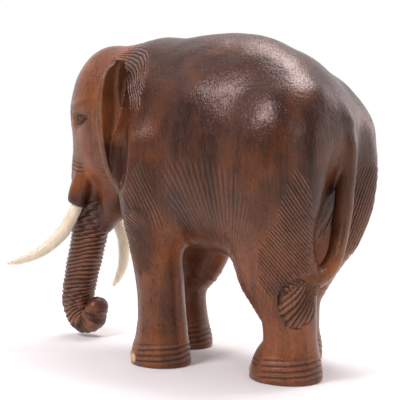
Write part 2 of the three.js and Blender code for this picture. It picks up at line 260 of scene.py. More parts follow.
LO = np.array([-66.0, -150.0, -4.0])
HI = np.array([66.0, 104.0, 222.0])
def grid(h, coarse=4):
    n = np.ceil((HI - LO) / h).astype(int) + 1
    n = ((n + coarse) // coarse) * coarse + 1
    H = h * coarse
    nc = (n - 1) // coarse + 1
    ax = [LO[i] + H * np.arange(nc[i]) for i in range(3)]
    X = np.stack(np.meshgrid(*ax, indexing="ij"), -1).reshape(-1, 3)
    C = np.concatenate([field(X[s:s + 300000]) for s in range(0, len(X), 300000)]).reshape(nc)
    def up(a, axis):
        idx = np.arange(n[axis]) / coarse
        i0 = np.minimum(idx.astype(int), nc[axis] - 2)
        t = idx - i0
        sh = [1, 1, 1]
        sh[axis] = -1
        return np.take(a, i0, axis) * (1 - t.reshape(sh)) + np.take(a, i0 + 1, axis) * t.reshape(sh)
    V = up(up(up(C, 0), 1), 2).astype(np.float32)
    near = np.abs(V) < H * 1.05
    P = LO + np.argwhere(near) * h
    out = np.empty(len(P))
    for s in range(0, len(P), 300000):
        out[s:s + 300000] = field(P[s:s + 300000])
    V[near] = out
    return V

def nets(V, h):
    neg = V < 0
    nx, ny, nz = V.shape
    cs = np.zeros((nx - 1, ny - 1, nz - 1), np.int8)
    corners = [(a, b, c) for a in (0, 1) for b in (0, 1) for c in (0, 1)]
    for a, b, c in corners:
        cs += neg[a:nx - 1 + a, b:ny - 1 + b, c:nz - 1 + c]
    mix = (cs > 0) & (cs < 8)
    cells = np.argwhere(mix)
    vid = np.full(mix.shape, -1, np.int64)
    vid[mix] = np.arange(len(cells))
    acc = np.zeros((len(cells), 3))
    cnt = np.zeros(len(cells))
    vals = {c: V[cells[:, 0] + c[0], cells[:, 1] + c[1], cells[:, 2] + c[2]].astype(float) for c in corners}
    for c in corners:
        for ax in range(3):
            if c[ax] == 0:
                c2 = list(c)
                c2[ax] = 1
                a, b = vals[c], vals[tuple(c2)]
                m = (a < 0) != (b < 0)
                t = np.where(m, a / np.where(a - b == 0, 1, a - b), 0)
                pos = np.array(c, float)[None, :].repeat(len(cells), 0)
                pos[:, ax] += t
                acc[m] += pos[m]
                cnt[m] += 1
    verts = LO + h * (cells + acc / cnt[:, None])
    faces = []
    for ax in range(3):
        a, b = [(1, 2), (2, 0), (0, 1)][ax]
        s0, s1 = [slice(None)] * 3, [slice(None)] * 3
        s0[ax], s1[ax] = slice(0, -1), slice(1, None)
        n0 = neg[tuple(s0)]
        e = np.argwhere(n0 != neg[tuple(s1)])
        e = e[(e[:, a] > 0) & (e[:, b] > 0) & (e[:, a] < V.shape[a] - 1) & (e[:, b] < V.shape[b] - 1)]
        s = n0[tuple(e.T)]
        def cell(da, db):
            c = e.copy()
            c[:, a] -= da
            c[:, b] -= db
            return vid[tuple(c.T)]
        q = np.stack([cell(1, 1), cell(0, 1), cell(0, 0), cell(1, 0)], 1)
        q[~s] = q[~s][:, ::-1]
        faces.append(q)
    F = np.concatenate(faces)
    return verts, F[(F >= 0).all(1)]

def chunks(fn, p, size=200000):
    return np.concatenate([fn(p[s:s + size]) for s in range(0, len(p), size)])
def grad(p, e=0.25):
    g = np.stack([field(p + o) - field(p - o) for o in np.eye(3) * e], 1) / (2 * e)
    return g
def settle(p, rounds=2):
    """Moves points onto the skin of the field."""
    for _ in range(rounds):
        d = chunks(field, p)
        g = chunks(grad, p)
        g2 = np.maximum((g * g).sum(1), 0.05)
        p = p - g * np.clip(d / g2, -1.2, 1.2)[:, None]
    return p
def normals(p):
    g = chunks(grad, p)
    return g / np.maximum(np.linalg.norm(g, axis=1), 1e-6)[:, None]

def split_faces(verts, quads, flag):
    """Flagged quads become four; a plain neighbour takes the new edge points in as a polygon."""
    n = len(verts)
    E = np.stack([quads, np.roll(quads, -1, 1)], 2)
    lo, hi = E.min(2), E.max(2)
    key = lo * n + hi
    split_keys = np.unique(key[flag])
    mids = (verts[split_keys // n] + verts[split_keys % n]) / 2
    pos = np.searchsorted(split_keys, key)
    pos = np.minimum(pos, len(split_keys) - 1)
    has = split_keys[pos] == key
    mid = np.where(has, n + pos, -1)
    centres = verts[quads[flag]].mean(1)
    cid = n + len(mids) + np.arange(flag.sum())
    q, m = quads[flag], mid[flag]
    small = np.concatenate([np.stack([q[:, i], m[:, i], cid, m[:, i - 1]], 1) for i in range(4)])
    plain = []
    rest, rm = quads[~flag], mid[~flag]
    clean = (rm < 0).all(1)
    for f, mm in zip(rest[~clean], rm[~clean]):
        loop = []
        for i in range(4):
            loop.append(int(f[i]))
            if mm[i] >= 0:
                loop.append(int(mm[i]))
        plain.append(loop)
    return np.vstack([verts, mids, centres]), small, rest[clean], plain

# ---------------------------------------------------------------------------------------------
# The carving: shallow forms and gouge lines, as a movement along the skin's normal.
# ---------------------------------------------------------------------------------------------
def side_uv(p):
    """Flank coordinates: U towards the tail, V up; the right side is moved on to the left side's legs."""
    z = p[:, 2]
    hind = np.interp(z, [30, 56, 72, 92], [28, 18, 9.5, 1.5])
    hind = np.where(z > 98, 0, hind)
    fore = np.interp(z, [16, 40, 60, 85, 112], [19, 20, 13, 4, -3])
    fore = np.where(z > 135, 0, fore)
    y = p[:, 1] + np.where(p[:, 0] < 0, np.where(p[:, 1] > 8, hind, fore), 0)
    return -0.574 * np.abs(p[:, 0]) + 0.819 * y, z

def inside(u, v, poly):
    """Distance in from a polygon's edge; below 0 outside it."""
    P = np.array(poly, float)
    Q = np.roll(P, -1, 0)
    best = np.full(len(u), 1e9)
    wind = np.zeros(len(u), bool)
    for (ax, ay), (bx, by) in zip(P, Q):
        ex, ey = bx - ax, by - ay
        t = np.clip(((u - ax) * ex + (v - ay) * ey) / (ex * ex + ey * ey), 0, 1)
        best = np.minimum(best, np.hypot(u - ax - t * ex, v - ay - t * ey))
        cross = ((ay > v) != (by > v)) & (u < (bx - ax) * (v - ay) / (by - ay if by != ay else 1e-9) + ax)
        wind ^= cross
    return np.where(wind, best, -best)

def hashed(i, k=0.0):
    s = np.sin(i * 12.9898 + k * 78.233) * 43758.5453
    return s - np.floor(s)

def noise(p, scale, seed=0):
    """Smooth value noise, -1 to 1."""
    q = p / scale + 31.7 * (seed + 1)
    i = np.floor(q)
    f = q - i
    f = f * f * (3 - 2 * f)
    out = np.zeros(len(p))
    for dx in (0, 1):
        for dy in (0, 1):
            for dz in (0, 1):
                s = np.sin((i[:, 0] + dx) * 127.1 + (i[:, 1] + dy) * 311.7 + (i[:, 2] + dz) * 74.7 + seed * 17.3) * 43758.5453
                w = (f[:, 0] if dx else 1 - f[:, 0]) * (f[:, 1] if dy else 1 - f[:, 1]) * (f[:, 2] if dz else 1 - f[:, 2])
                out += w * (s - np.floor(s))
    return out * 2 - 1

THIGH = [(39.4,131.6),(48.0,125.5),(48.5,120.4),(49.7,106.2),(50.2,90.1),(50.1,72.3),(44.5,67.9),(38.0,64.9),(31.1,55.3),(24.1,52.2),(17.0,60.9),(16.7,75.4),(18.9,86.1),(22.9,93.7),(29.1,106.6),(34.2,119.8)]
THIGH_R = [(39.4,134),(56,133),(74,130),(76,105),(72,84),(60,72),(44.5,66),(38.0,62),(31.1,55.3),(24.1,52.2),(17.0,60.9),(16.7,75.4),(18.9,86.1),(22.9,93.7),(29.1,106.6),(34.2,119.8)]
LEGLINE = [(16.7,75.4),(24.9,76.0),(36.8,65.5),(33.8,50.5),(20.9,43.7),(17.0,57.7)]
SHOULDER = [(-66.5,99.5),(-60.5,104.4),(-52.9,101.1),(-47.8,92.2),(-44.6,83.2),(-46.6,68.9),(-49.2,63.6),(-55.5,56.1),(-61.9,66.9),(-65.4,82.2)]
CHEST = [(-67.7,114.4),(-60.1,134.3),(-54.1,139.5),(-48.9,128.2),(-42.5,109.2),(-36.2,94.9),(-43.9,84.4),(-51.6,99.9),(-59.5,103.4),(-63.7,98.4)]
FLANK = [(-42.4,128.4),(-35.9,140.1),(-17.0,140.7),(2.2,131.9),(12.8,113.2),(15.4,92.0),(10.8,82.2),(-1.3,77.0),(-20.2,80.6),(-32.3,95.1)]
NECK_IN = [(-78.4,195.9),(-71.0,193.1),(-68.4,188.5),(-65.4,178.7),(-64.0,167.5),(-62.7,156.5),(-62.8,144.4)]
NECK_OUT = [(-73.0,202.1),(-65.6,207.7),(-57.5,208.2),(-52.3,206.0),(-50.2,201.1),(-50.5,195.0),(-53.0,185.8),(-55.3,175.5),(-57.5,163.0),(-59.6,153.4),(-61.1,141.3)]
NECK_C = (-78.7, 166.0)

def furrow(phase, sharp):
    """0 on the ridge to 1 in the cut, once a turn."""
    return (0.5 + 0.5 * np.cos(2 * np.pi * phase)) ** sharp

def carve(p, n):
    """Movement along the normal (mm), painted shade 0-1 by depth of cut (and a knot's own dark wood), lighter ridges
    0-1 (wear and painted highlight), for points of the skin.
    """
    N = len(p)
    x, y, z = p.T
    sx = np.sign(x) + (x == 0)
    u, v = side_uv(p)
    out = sstep(-0.22, 0.12, 0.819 * sx * n[:, 0] + 0.574 * n[:, 1])
    move = np.zeros(N)
    hollow_shade_and_knot = np.zeros(N)
    worn = np.zeros(N)
    wob = noise(p, 9.0, 1)
    fine = noise(p, 3.0, 2)

    def lines(phase, mask, depth, sharp=1.6, shade_amount=1.0, uneven=0.35):
        nonlocal move, hollow_shade_and_knot, worn
        ph = phase + 0.09 * wob + 0.03 * fine
        i = np.round(ph)
        f = furrow(ph, sharp) * mask * (1 - uneven * hashed(i, 3))
        move = move - depth * (f - 0.35 * mask)
        # painted shade in the bottom of each furrow
        hollow_shade_and_knot = np.maximum(hollow_shade_and_knot, f * shade_amount)
        # lighter ridges between furrows: partly wear, partly painted highlight
        worn = np.maximum(worn, depth * mask * furrow(ph + 0.5, 1.6) * (0.4 + 0.9 * hashed(i, 11)))

    def edge(sd, fade, ph=None, ragged=3.0):
        r = 0 if ph is None else ragged * (hashed(np.round(ph), 7) - 0.35)
        return sstep(0, fade, sd + r)

    # thigh and buttock
    ph = (v + 1.295 * u + 2.2 * np.sin(v / 13.0)) / 3.07
    zone = np.where(x < -3, inside(u, v, THIGH_R), inside(u, v, THIGH))
    m = edge(zone, 2.6, ph, 5.0) * out * (y > 20) * np.where(x < -3, sstep(0.72, 0.55, n[:, 1]), 1.0)
    lines(ph, m, 0.95, 1.25, 1.0, 0.25)
    ph = (z - 2.6 * (-0.574 * x + 0.819 * y) + 2.0 * np.sin(z / 11.0)) / 5.4
    m = sstep(0.55, 0.72, n[:, 1]) * sstep(-5, -9, x) * (y > 55) * sstep(136, 128, z + 4 * hashed(np.round(ph), 5)) * sstep(70, 78, z)
    lines(ph, m, 0.8, 1.3, 1.0, 0.25)
    # upright lines below it
    ph = (u - 0.12 * v) / 2.4
    m = edge(inside(u, v, LEGLINE), 3.0, ph, 5.0) * out * (y > 20) * 0.55
    lines(ph, m, 0.5, 1.6, 0.75)
    # shoulder
    du = u + 61.3
    ph = (v + 0.86 * du + 0.03 * du * du) / 2.3
    m = edge(inside(u, v, SHOULDER), 2.2, ph, 4.0) * out * (y < 10)
    lines(ph, m, 0.8, 1.35, 1.0, 0.25)
    # chest
    ph = (u + 0.4 * v + 1.2 * np.sin(v / 9.0)) / 2.5
    m = edge(inside(u, v, CHEST), 3.0, ph, 5.0) * out * (y < 20)
    lines(ph, m, 0.5, 1.5, 0.75)
    # flank, fanning from a point under the belly
    ph = np.arctan2(v - 51.5, u - 2.1) / 0.042
    m = edge(inside(u, v, FLANK), 8.0, ph, 9.0) * out
    lines(ph, m, 0.34, 1.5, 0.6)
    # fold of skin behind the ear
    ear = np.full(N, 9.0)
    for name in ("ear_l", "ear_r"):
        i = np.where((x * (1 if name == "ear_l" else -1) > 24) & (np.abs(y + 60) < 16) & (z > 110))[0]
        if len(i):
            ear[i] = 1 + d_ear(p[i], LINES[name], 1 if name == "ear_l" else -1) / 3.0
    off_ear = sstep(1.15, 1.6, ear)
    rr = np.hypot(u - NECK_C[0], v - NECK_C[1])
    th = np.arctan2(v - NECK_C[1], u - NECK_C[0])
    def ring(line):
        L = np.array(line) - np.array(NECK_C)
        t, r = np.arctan2(L[:, 1], L[:, 0]), np.hypot(L[:, 0], L[:, 1])
        o = np.argsort(t)
        return np.interp(th, t[o], r[o])
    r0, r1 = ring(NECK_IN), ring(NECK_OUT)
    w = (rr - r0) / np.maximum(r1 - r0, 2.0)
    band = off_ear * sstep(-0.06, 0.06, w) * sstep(1.12, 0.86, w) * sstep(-1.05, -0.75, th) * sstep(1.72, 1.5, th) * out * (y < -15) * (y > -80)
    move = move + 0.6 * band * sstep(1.0, 0.6, w) * sstep(-0.4, 0.3, th)
    lines((rr - r0) / np.maximum((r1 - r0) / 9, 1.6), band * sstep(-0.2, 0.3, th), 0.85, 1.3, 1.0, 0.2)
    pits = sstep(0.25, 0.6, noise(p * np.array([1, 1, 0.55]), 2.2, 4)) * band * sstep(0.2, -0.2, th) * sstep(-0.75, -0.5, th) * 0.5
    move = move - 0.5 * pits
    # painted shade in the pits
    hollow_shade_and_knot = np.maximum(hollow_shade_and_knot, 0.8 * pits)

    # trunk rings
    S = LINES["trunk"]
    near = (y < -96) & (z < 104)
    idx = np.where(near)[0]
    if len(idx):
        bi, bt, c, a, b, s = tube_frame(p[idx], S, (1, 0, 0))
        seg = np.linalg.norm(np.diff(S[:, :3], axis=0), axis=1)
        cum = np.concatenate([[0], np.cumsum(seg)])
        arc = cum[bi] + bt * seg[bi]
        start = 50.0
        tilt = 0.45 * sstep(150, 122, arc)
        own = np.hypot(a / c[:, 3], b / c[:, 4])
        keep = sstep(1.32, 1.14, own) * sstep(start - 3, start + 5, arc + 4 * np.abs(a) / 12)
        ph = (arc - tilt * b + 0.5 * np.sin(3.0 * np.arctan2(a, b) + arc / 7.0)) / 3.15
        mm = np.zeros(N); mm[idx] = keep
        pp = np.zeros(N); pp[idx] = ph
        side = np.ones(N); side[idx] = 0.75 + 0.25 * sstep(-0.4, 0.4, np.abs(a) / 12 - 0.3)
        lines(pp, mm * side, 1.1, 1.4, 1.0, 0.25)
    # sheath wrinkles and the crease behind it
    q = z + 0.35 * (np.abs(x) - 12)
    m = sstep(123.0, 125.5, q) * sstep(134.5, 132.0, q) * (y < -98) * sstep(5, 9, np.abs(x)) * sstep(-97.5, -100.5, -0.574 * np.abs(x) + 0.819 * y)
    lines((q - 0.9) / 2.9, m, 0.45, 1.8, 0.9)
    # foot rings
    for name, front in (("leg_lf", 0), ("leg_rf", 0), ("leg_lh", 1), ("leg_rh", 1)):
        S = LINES[name]
        cx, cy = S[np.argmin(np.abs(S[:, 2] - 8)), :2]
        mine = (np.hypot(x - cx, y - cy) < 27) & (z < 24)
        ang = np.degrees(np.arctan2(np.abs(x - cx), cy - y))  # 0 ahead, 180 behind
        m = mine * sstep(58, 78, ang) * sstep(1.6, 3.0, z) * sstep(19.5 - 3 * hashed(cx), 14.5, z)
        lines((z - 0.10 * (y - cy) - 4.0 + 0.35 * np.sin(ang / 17.0)) / 3.5, m, 0.6, 2.2, 1.0, 0.3)
        # short cuts above the nails
        m = mine * sstep(62, 52, ang) * sstep(8.6, 9.6, z) * sstep(15.5, 13.5, z)
        lines((z - 10.3) / 2.6, m, 0.3, 2.4, 0.8)
    # tuft strands
    T = np.array([31, 82.5, 66.0])
    ax2 = unit((10, -7.5, -29))
    ac = unit(np.cross(ax2, unit(np.cross(ax2, (-.576, .432, -.69)))))
    r = p - T
    along, across = r @ ax2, r @ ac
    tm = (np.linalg.norm(p - np.array([38, 78, 51.0]), axis=1) < 24) & (along > 0)
    bi, bt, c, a, b, s = tube_frame(p, LINES["tuft"], (-.576, .432, -.69))
    tuft_own = np.hypot(np.hypot(a / c[:, 3], b / c[:, 4]), s / 3.4)
    tm = tm * sstep(1.25, 1.08, tuft_own)
    rimt = (np.linalg.norm(p - np.array([38, 78, 51.0]), axis=1) < 26) * np.exp(-((tuft_own - 1.32) / 0.12) ** 2) * (along > 3)
    # a sunk groove round the tuft, with painted shade in it
    move = move - 0.9 * rimt
    hollow_shade_and_knot = np.maximum(hollow_shade_and_knot, 0.9 * rimt)
    ph = np.arctan2(across + 0.05 * along * np.sin(along / 6.0) + 0.4 * np.sin(across / 2.3), along + 9) / 0.098
    lines(ph, tm * sstep(1.5, 6, along), 1.1, 1.2, 1.0, 0.2)

    # eyes
    for s in (1, -1):
        e = p - np.array([s * 27.6, -104.6, 159.5])
        eu = e[:, 1] * 0.93 + s * e[:, 0] * 0.25 + e[:, 2] * 0.10
        ev = e[:, 2] - 0.12 * e[:, 1]
        close = (s * x > 12) & (np.abs(e[:, 1]) < 16) & (np.abs(e[:, 2]) < 16)
        k = np.hypot(eu / 7.2, ev / (3.0 - 1.3 * np.clip(eu / 7.2, -1, 1)))
        lid = np.exp(-((k - 1.05) / 0.16) ** 2) * close
        ball = sstep(1.0, 0.5, k) * close
        socket = np.exp(-(k / 1.9) ** 2) * close
        upper = np.exp(-((k - 1.5) / 0.16) ** 2) * close * sstep(-1, 1.5, ev)
        under = np.exp(-((k - 1.55) / 0.14) ** 2) * close * sstep(0.5, -1.5, ev)
        move = move - 2.3 * socket + 1.9 * ball - 1.0 * lid - 0.6 * upper - 0.5 * under
        rings = np.exp(-((k - 2.1) / 0.13) ** 2) * close * sstep(-0.5, 1.5, ev) + np.exp(-((k - 2.7) / 0.13) ** 2) * close * sstep(0.5, 3.0, ev) + np.exp(-((k - 2.2) / 0.12) ** 2) * close * sstep(-1.0, -3.0, ev) * sstep(0, 3, eu)
        specks = sstep(0.1, 0.5, noise(p, 1.5, 21)) * np.exp(-((k - 0.9) / 0.7) ** 2) * close * sstep(-2.0, 1.0, eu)
        move = move - 0.35 * rings - 0.6 * specks
        # painted shade in the eye: rings, specks, socket, lids and pupil darkened, the raised ball less so
        hollow_shade_and_knot = np.maximum(hollow_shade_and_knot, np.maximum(0.5 * rings, 0.95 * specks))
        hollow_shade_and_knot = np.maximum(hollow_shade_and_knot, 0.97 * np.exp(-(k / 1.3) ** 4) * close * (1 - 0.35 * ball))
        pupil = sstep(0.30, 0.18, np.hypot(eu / 6.4 + 0.05, ev / 6.4 - 0.04)) * close
        move = move - 0.5 * pupil
        hollow_shade_and_knot = np.maximum(hollow_shade_and_knot, np.maximum.reduce([0.95 * lid, 0.7 * upper, 0.6 * under, 0.8 * pupil]))
        brow = np.exp(-((ev - 9.5 - 0.10 * eu) / 3.4) ** 2 - (eu / 12) ** 2) * (s * x > 8)
        move = move + 1.8 * brow
    # under-eye and cheek wrinkles
    for (cx, cy, cz, hx, slope, nl, pitch) in ((29, -97, 150, 5, -0.5, 3, 2.6), (18, -86, 121, 6, 0.35, 3, 3.0)):
        e = np.abs(x) - cx
        f = (z - cz) + slope * (y - cy)
        m = sstep(hx + 3, hx - 1, np.abs(y - cy)) * sstep(pitch * nl / 2 + 0.8, pitch * nl / 2 - 0.6, np.abs(f)) * (np.abs(e) < 12)
        lines(f / pitch, m, 0.22, 2.0, 0.35)
    # ears: a thin raised rim with a painted highlight, a fold, and a sunk pocket under the fold darkened with painted
    # shade
    for s in (1, -1):
        ex = s * x
        S = LINES["ear_l"][::-1]
        mid_x, half = np.interp(z, S[:, 2], S[:, 0]), np.interp(z, S[:, 2], S[:, 3])
        across = (ex - mid_x) / half  # 1 at the outer rim
        mine = sstep(1.5, 1.1, ear) * (ex > 26) * sstep(108, 114, z) * sstep(201, 196, z)
        back = mine * sstep(0.25, 0.6, n[:, 1])
        # hollow between rim and fold, then the fold, then the sunk pocket below it, which takes painted shade
        fold_at = np.interp(z, [112, 128, 140, 148, 160, 175, 190], [0.9, 0.62, 0.30, -0.05, -0.20, -0.18, -0.05])
        hollow = back * sstep(fold_at, fold_at + 0.25, across) * sstep(0.93, 0.70, across) * sstep(118, 126, z)
        fold = back * np.exp(-((across - fold_at) / 0.09) ** 2)
        low = back * sstep(fold_at, fold_at - 0.2, across) * sstep(150, 140, z)
        pits = sstep(0.15, 0.55, noise(p, 2.1, 5)) * low * sstep(0.35, 0.1, across)
        move = move - 1.5 * hollow + 0.7 * fold - 1.6 * low - 0.8 * pits
        hollow_shade_and_knot = np.maximum(hollow_shade_and_knot, np.maximum(0.72 * low, 0.95 * pits))
        # painted highlight: the ear's outer rim lighter
        worn = np.maximum(worn, 0.9 * mine * sstep(0.86, 0.97, across) * sstep(-0.4, 0.2, n[:, 1]))
        # painted shade along the inner edge of the ear's back, where it meets the neck
        inner = back * np.exp(-((across + 0.8) / 0.15) ** 2)
        hollow_shade_and_knot = np.maximum(hollow_shade_and_knot, 0.5 * inner)
    # the knot
    k = np.linalg.norm((p - np.array([50, -5, 149.0])) / np.array([5, 1.7, 1.0]), axis=1)
    move = move - 0.35 * np.exp(-k * k * 1.5)
    hollow_shade_and_knot = np.maximum(hollow_shade_and_knot, 0.9 * np.exp(-k * k * 1.2))

    # broad hand-worked forms
    def bump(c, sg, h):
        nonlocal move
        e = (p - np.array(c, float)) / np.array(sg, float)
        move = move + h * np.exp(-0.5 * (e * e).sum(1))
    for s in (1, -1):
        bump((s * 43, 8, 178), (18, 20, 12), 2.0)
        bump((s * 25, 84, 181), (13, 11, 9), 2.2 if s > 0 else -1.2)
        bump((s * 24, -109, 148), (8, 8, 7), -1.8)
        bump((s * 45, 42, 168), (16, 12, 15), -1.1)
        bump((s * 46, -22, 160), (14, 12, 22), -0.8)
    bump((-6, 88, 179), (22, 11, 12), -2.2)
    move = move + 0.60 * noise(p, 23.0, 8) + 0.24 * noise(p, 9.0, 9) + 0.05 * noise(p, 3.2, 10) * (z > 20)
    # the socket walls stay true
    for mouth, ax in MOUTHS:
        a = unit(ax)
        w = p - np.array(mouth)
        s = w @ a
        rad = np.linalg.norm(w - s[:, None] * a, axis=1)
        move = move * np.where((s > -ROOT_DEPTH - 3) & (s < 3), sstep(5.0, 7.0, rad), 1.0)
    return move, np.clip(hollow_shade_and_knot, 0, 1), np.clip(worn, 0, 1)

V = grid(STEP)
verts, quads = nets(V, STEP)
verts = settle(verts, 2)
zone_n = normals(verts)
# the zone: anything within one cell of a cut, found from the cut depth at the corners
c0 = carve(verts, zone_n)[1]
hot = c0 > 0.02
q_hot = hot[quads].any(1)
spread = np.zeros(len(verts), bool)
spread[quads[q_hot]] = True
q_hot = spread[quads].any(1)
n_old = len(verts)
verts, small, whole, poly = split_faces(verts, quads, q_hot)
new = settle(verts[n_old:], 1)
verts = np.vstack([verts[:n_old], new])
nrm = np.vstack([zone_n, normals(new)])
faces = [small, whole]
move, hollow_shade_and_knot, worn = carve(verts, nrm)
skin = verts + nrm * move[:, None]
skin[:, 2] = np.maximum(skin[:, 2], 0.0)

def to_row(P):
    return (np.asarray(P, float) + SHIFT) / 1000.0

def mesh_of(name, points, face_lists, poly=()):
    me = bpy.data.meshes.new(name)
    sizes = np.concatenate([np.full(len(f), f.shape[1]) for f in face_lists] + ([np.array([len(f) for f in poly])] if len(poly) else [])).astype(np.int32)
    loops = np.concatenate([f.ravel() for f in face_lists] + ([np.concatenate([np.array(f) for f in poly])] if len(poly) else [])).astype(np.int32)
    me.vertices.add(len(points))
    me.vertices.foreach_set("co", to_row(points).astype(np.float32).ravel())
    me.loops.add(len(loops))
    me.loops.foreach_set("vertex_index", loops)
    me.polygons.add(len(sizes))
    me.polygons.foreach_set("loop_start", np.concatenate([[0], np.cumsum(sizes)[:-1]]).astype(np.int32))
    me.polygons.foreach_set("loop_total", sizes)
    me.polygons.foreach_set("use_smooth", np.ones(len(sizes), bool))
    me.update(calc_edges=True)
    me.validate()
    ob = bpy.data.objects.new(name, me)
    bpy.context.scene.collection.objects.link(ob)
    return ob

def paint(me, name, values):
    a = me.attributes.new(name, "FLOAT", "POINT")
    a.data.foreach_set("value", np.asarray(values, np.float32))

elephant = mesh_of("carved_elephant", skin, faces, poly)
# per-point painted shade in cuts, pits and hollows, with the knot's own dark wood
paint(elephant.data, "hollow_shade_and_knot", hollow_shade_and_knot)
# per-point lighter ridges and ear rim: wear and painted highlight
paint(elephant.data, "worn", worn)
# where the polish shows redder, paler wood (forehead, mid flank), mixed with painted light: the legs warmer and paler
# towards the bottom, the ear's back face lighter above, a sheen patch on the neck front; painted shade low on the
# ear's back; a lighter tuft, wear and painted highlight; warmer on the tail; darker on the lower trunk and over the
# carved shoulder
x, y, z = verts.T
head = sstep(-60, -72, y) * sstep(96, 116, z)
tone_and_light = 0.02 + 0.62 * sstep(116, 62, z) + 0.62 * head
# painted light and shade on the ear's back face: lighter above, darker in the pocket below
leaf = sstep(30, 34, np.abs(x)) * sstep(-68, -64, y) * sstep(-51, -55, y) * sstep(106, 112, z) * sstep(0.0, 0.4, nrm[:, 1])
tone_and_light = tone_and_light + leaf * (0.62 * sstep(140, 154, z) - 0.35 * sstep(150, 140, z))
# painted sheen: a lighter patch on the neck front behind the ear
tone_and_light = tone_and_light + 0.30 * np.exp(-((z - 150) / 22) ** 2 - ((y + 48) / 16) ** 2)
tone_and_light = tone_and_light - 0.26 * (y < -96) * sstep(112, 100, z)
tone_and_light = tone_and_light + 0.24 * noise(verts, 20.0, 12) + 0.10 * noise(verts, 8.0, 13)
tone_and_light = tone_and_light + 0.22 * np.exp(-((z - 128) / 16) ** 2) * sstep(-30, 0, y) * sstep(70, 40, y) * (0.5 + 0.5 * noise(verts, 14.0, 15))
# the tuft lighter: wear and painted highlight
tone_and_light = tone_and_light + 0.35 * np.exp(-(((verts - np.array([38, 78, 52.0])) / np.array([16, 12, 17])) ** 2).sum(1) * 1.2)
tone_and_light = tone_and_light + 0.28 * np.exp(-((x - 6) / 16) ** 2) * sstep(80, 85, y) * sstep(160, 135, z) * sstep(52, 62, z)
wu, wv = side_uv(verts)
tone_and_light = tone_and_light - 0.34 * np.exp(-((wu + 54) / 10) ** 2 - ((wv - 92) / 20) ** 2) * (y < 0)
tone_and_light = np.clip(tone_and_light, 0, 1)
paint(elephant.data, "tone_and_light", tone_and_light)
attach(elephant, "carving")
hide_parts("elephant_body")

# ---------------------------------------------------------------------------------------------
# Tusks and nails
# ---------------------------------------------------------------------------------------------
TUSKS = {
    "left": ((17.5,-115.5,98), (2,-4,-12), [(19.4,-118.9,90,4.6),(24,-124.5,78,4.7),(34,-134,66,3.9),(46,-142,60,2.7),(54.4,-147.5,58.2,1.1)]),
    "right": ((-17.5,-115.5,98), (-3.5,-2.5,-12), [(-21,-116.9,91,4.6),(-27,-114.6,82,4.7),(-33.5,-114.9,71,4.6),(-37.2,-116.9,60,4.3),(-40.2,-120.4,48.5,3.7),(-42,-126.2,38,2.9),(-43,-131.5,31.5,1.6)])}

def loft(name, S, around, hint=(1, 0.3, 0), flute=0.0):
    C = S[:, :3]
    T = np.gradient(C, axis=0)
    T /= np.linalg.norm(T, axis=1)[:, None]
    e = unit(hint)
    rows = []
    for c, t, r in zip(C, T, S[:, 3]):
        e = unit(e - t * (e @ t))
        g = np.cross(t, e)
        a = np.linspace(0, 2 * np.pi, around, endpoint=False)
        rr = r * (1 + flute * np.cos(3 * a))
        rows.append(c + np.cos(a)[:, None] * e * rr[:, None] + np.sin(a)[:, None] * g * rr[:, None])
    P = np.vstack(rows + [C[:1] - 0 * T[:1], C[-1:] + T[-1:] * S[-1, 3] * 0.55])
    n = len(rows)
    i = np.arange(around)
    j = (i + 1) % around
    body = np.concatenate([np.stack([k * around + i, k * around + j, (k + 1) * around + j, (k + 1) * around + i], 1) for k in range(n - 1)])
    caps = np.concatenate([np.stack([np.full(around, n * around), j, i], 1), np.stack([np.full(around, n * around + 1), (n - 1) * around + i, (n - 1) * around + j], 1)])
    return mesh_of(name, P, [body, caps])

for side, (mouth, ax, line) in TUSKS.items():
    a = unit(ax)
    m = np.array(mouth)
    pts = [tuple(m - a * ROOT_DEPTH) + (ROOT_R - 0.3,), tuple(m - a * (ROOT_DEPTH - 1)) + (ROOT_R,), tuple(m - a * 6) + (ROOT_R,), tuple(m + a * 1) + (ROOT_R + 0.1,)] + line
    S = catmull(pts, 10)
    # a round point
    tip = S[-1].copy()
    d = unit(S[-1, :3] - S[-3, :3])
    extra = [np.r_[tip[:3] + d * tip[3] * k, tip[3] * math.sqrt(max(1 - k * k, 0.01))] for k in (0.35, 0.65, 0.88)]
    S = np.vstack([S, extra])
    # slightly hand-shaped
    w = np.arange(len(S))
    S[:, 3] *= 1 + 0.012 * np.sin(w / 4.0) + 0.010 * np.sin(w / 9.0 + 1)
    o = loft("tusk_" + side + "_ivory_wood", S, 40)
    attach(o, "tusk_" + side)
    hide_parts("tusk_" + side)

